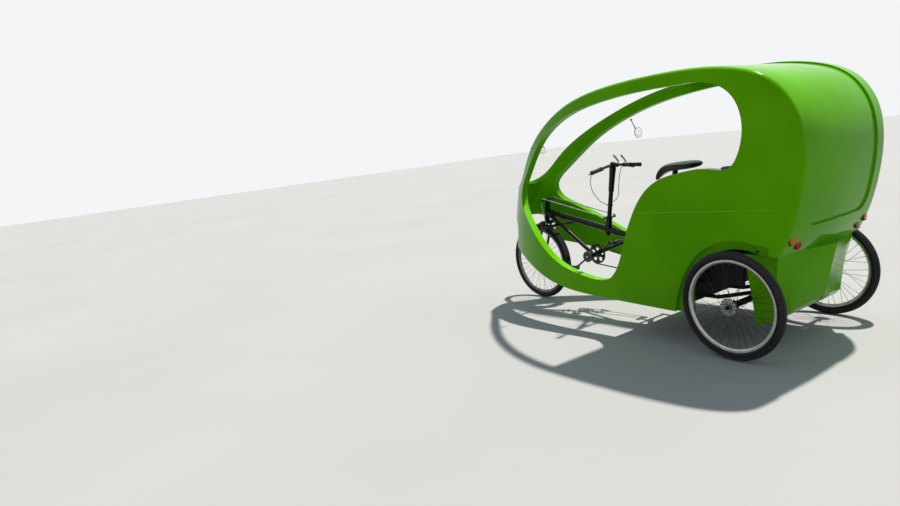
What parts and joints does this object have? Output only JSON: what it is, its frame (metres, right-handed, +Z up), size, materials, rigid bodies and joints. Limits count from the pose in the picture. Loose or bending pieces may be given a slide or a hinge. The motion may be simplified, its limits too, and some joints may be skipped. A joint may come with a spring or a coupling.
{
  "type": "cycle rickshaw",
  "caption": "Three-wheeled pedal rickshaw with a moulded cab of two side hoops, a closed back, a passenger bench and remote steering.",
  "frame": {"origin": "on the ground under the middle of the vehicle's length and width", "axes": "+X to the nose, +Y to the rider's left, +Z up"},
  "size_m": [3.0887, 1.328, 1.806],
  "materials": {
    "cab_paint": "gloss",
    "frame_paint": "gloss",
    "tyre": "matt",
    "rim": "polished",
    "hub": "satin",
    "chain_set": "satin",
    "black_plastic": "matt",
    "grip": "matt",
    "cushion": "woven",
    "saddle": "smooth",
    "floor": "ribbed",
    "lamp": "gloss",
    "mirror_shell": "satin",
    "board": "matt"
  },
  "bodies": {
    "vehicle": {"cab_side_left": "cab_paint", "cab_side_right": "cab_paint", "nose_panel": "cab_paint", "roof_back": "cab_paint", "rear_box": "cab_paint", "floor_tray": "floor", "bench_base": "board", "backrest_board": "board", "seat_cushion": "cushion", "back_cushion": "cushion", "head_tube": "frame_paint", "main_tube": "frame_paint", "down_tube": "frame_paint", "bracket_stay": "frame_paint", "seat_mast": "frame_paint", "saddle": "saddle", "drive_chain": "chain_set", "jackshaft": "frame_paint", "frame_rails": "frame_paint", "axle_beam": "frame_paint", "nose_support": "frame_paint", "mast_bearing": "frame_paint", "tail_lamps": "lamp", "mirror_left": "mirror_shell", "mirror_right": "mirror_shell"},
    "fork": {"fork": "frame_paint", "front_mudguard": "black_plastic"},
    "front_wheel": {"front_tyre": "tyre", "front_rim": "rim", "front_hub": "hub"},
    "left_wheel": {"left_tyre": "tyre", "left_rim": "rim", "left_hub": "hub"},
    "right_wheel": {"right_tyre": "tyre", "right_rim": "rim", "right_hub": "hub"},
    "mast": {"mast": "frame_paint", "handlebar": "frame_paint", "grips": "grip", "brake_levers": "black_plastic"},
    "left_link": {"link_left": "frame_paint"},
    "right_link": {"link_right": "frame_paint"},
    "crank": {"crankset": "chain_set"},
    "left_pedal": {"left_pedal": "black_plastic"},
    "right_pedal": {"right_pedal": "black_plastic"}
  },
  "joints": [
    {"name": "fork_steer", "type": "hinge", "parent": "vehicle", "child": "fork", "pos_m": [1.04884, 0, 0.815], "axis": [-0.1908, 0, 0.9816], "range_deg": [-30, 30]},
    {"name": "front_wheel_turn", "type": "hinge", "parent": "fork", "child": "front_wheel", "pos_m": [1.1994, 0, 0.345], "axis": [0, 1, 0], "continuous": true},
    {"name": "left_wheel_turn", "type": "hinge", "parent": "vehicle", "child": "left_wheel", "pos_m": [-1.1056, 0.6, 0.342], "axis": [0, 1, 0], "continuous": true},
    {"name": "right_wheel_turn", "type": "hinge", "parent": "vehicle", "child": "right_wheel", "pos_m": [-1.1056, -0.6, 0.342], "axis": [0, 1, 0], "continuous": true},
    {"name": "mast_steer", "type": "hinge", "parent": "vehicle", "child": "mast", "pos_m": [0.34456, 0, 0.7], "axis": [-0.1908, 0, 0.9816], "range_deg": [-30, 30]},
    {"name": "left_link_pivot", "type": "hinge", "parent": "mast", "child": "left_link", "pos_m": [0.33132, 0.064, 0.76813], "axis": [-0.1908, 0, 0.9816], "range_deg": [-30, 30]},
    {"name": "right_link_pivot", "type": "hinge", "parent": "mast", "child": "right_link", "pos_m": [0.33132, -0.064, 0.76813], "axis": [-0.1908, 0, 0.9816], "range_deg": [-30, 30]},
    {"name": "crank_turn", "type": "hinge", "parent": "vehicle", "child": "crank", "pos_m": [0.5344, 0, 0.44], "axis": [0, 1, 0], "continuous": true},
    {"name": "left_pedal_turn", "type": "hinge", "parent": "crank", "child": "left_pedal", "pos_m": [0.67366, 0.13, 0.34249], "axis": [0, 1, 0], "continuous": true},
    {"name": "right_pedal_turn", "type": "hinge", "parent": "crank", "child": "right_pedal", "pos_m": [0.39514, -0.13, 0.53751], "axis": [0, 1, 0], "continuous": true}
  ],
  "couplings": [
    {"joint": "mast_steer", "follows": "fork_steer", "ratio": 1},
    {"joint": "left_link_pivot", "follows": "fork_steer", "ratio": -1},
    {"joint": "right_link_pivot", "follows": "fork_steer", "ratio": -1}
  ]
}
